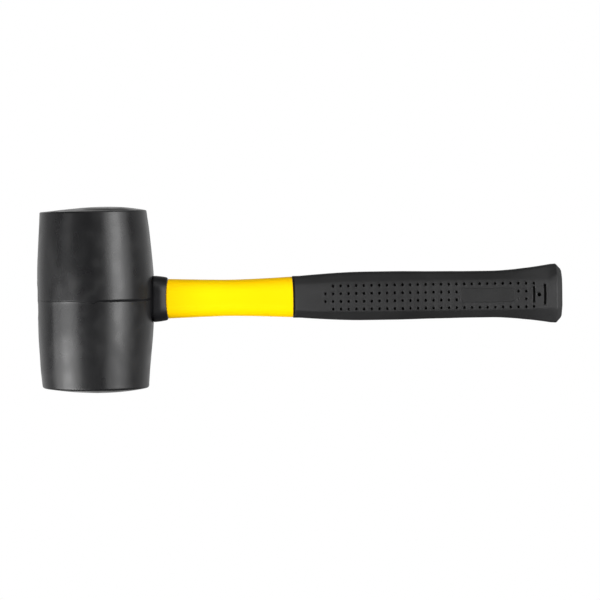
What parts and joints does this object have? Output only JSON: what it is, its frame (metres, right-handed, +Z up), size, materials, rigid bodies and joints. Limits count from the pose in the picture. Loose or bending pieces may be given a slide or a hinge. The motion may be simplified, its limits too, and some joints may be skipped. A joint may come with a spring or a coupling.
{
  "type": "rubber mallet",
  "caption": "Rubber mallet with a barrel-shaped black head, domed striking faces, a bare yellow neck and a dimpled black grip flaring at the butt.",
  "frame": {"origin": "crown of the lower striking face, on the head's axis", "axes": "+Z up the head's striking axis from the lower face to the upper one, +X along the handle from the head to the butt, +Y across the handle away from the viewer"},
  "size_m": [0.3404, 0.0766, 0.1206],
  "materials": {
    "head_rubber": "satin, moulded, with a fine parting line",
    "grip_rubber": "soft matt moulded rubber",
    "yellow_jacket": "smooth bright yellow plastic",
    "collar_plastic": "smooth black plastic",
    "black_plastic": "matt black plastic",
    "fibreglass": "pultruded glass rod with a pale greenish tint",
    "resin": "cured amber epoxy"
  },
  "bodies": {
    "root": {"rubber_head": "head_rubber", "eye_plug": "black_plastic", "resin_bond": "resin", "fibreglass_core": "fibreglass", "neck_collar": "collar_plastic", "handle_jacket": "yellow_jacket", "butt_plug": "black_plastic", "grip_sleeve": "grip_rubber"}
  },
  "joints": []
}
